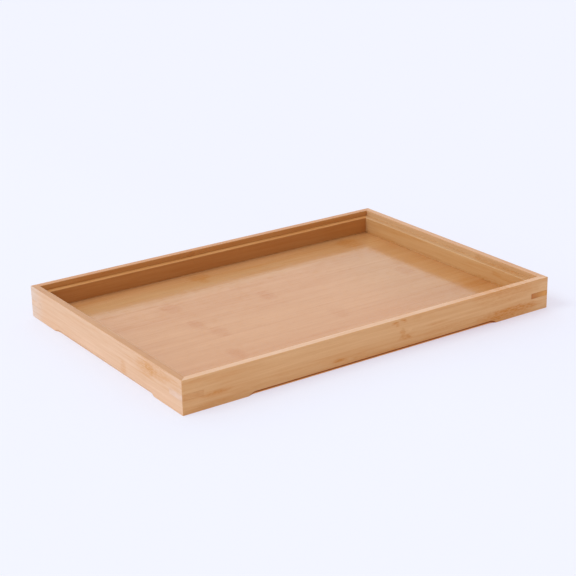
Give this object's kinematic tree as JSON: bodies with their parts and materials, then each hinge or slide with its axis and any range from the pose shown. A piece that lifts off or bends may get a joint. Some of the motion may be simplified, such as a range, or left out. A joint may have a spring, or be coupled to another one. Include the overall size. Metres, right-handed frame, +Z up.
{
  "type": "serving tray",
  "caption": "Rectangular bamboo serving tray with mitred, keyed rails, a ledge inside the rim, a grooved-in floor panel and stopped finger chamfers under its edges.",
  "frame": {"origin": "middle of the tray's footprint, on the surface that it stands on", "axes": "+X along the long rails towards the right rail, +Y along the short rails towards the back rail, +Z up"},
  "size_m": [0.4, 0.277, 0.0308],
  "materials": {
    "long_rail_bamboo": "clear satin lacquer",
    "short_rail_bamboo": "clear satin lacquer",
    "floor_bamboo": "clear satin lacquer",
    "key_bamboo": "clear satin lacquer over end grain"
  },
  "bodies": {
    "root": {"front_rail": "long_rail_bamboo", "back_rail": "long_rail_bamboo", "left_rail": "short_rail_bamboo", "right_rail": "short_rail_bamboo", "floor_panel": "floor_bamboo", "front_left_key": "key_bamboo", "front_right_key": "key_bamboo", "back_right_key": "key_bamboo", "back_left_key": "key_bamboo"}
  },
  "joints": []
}
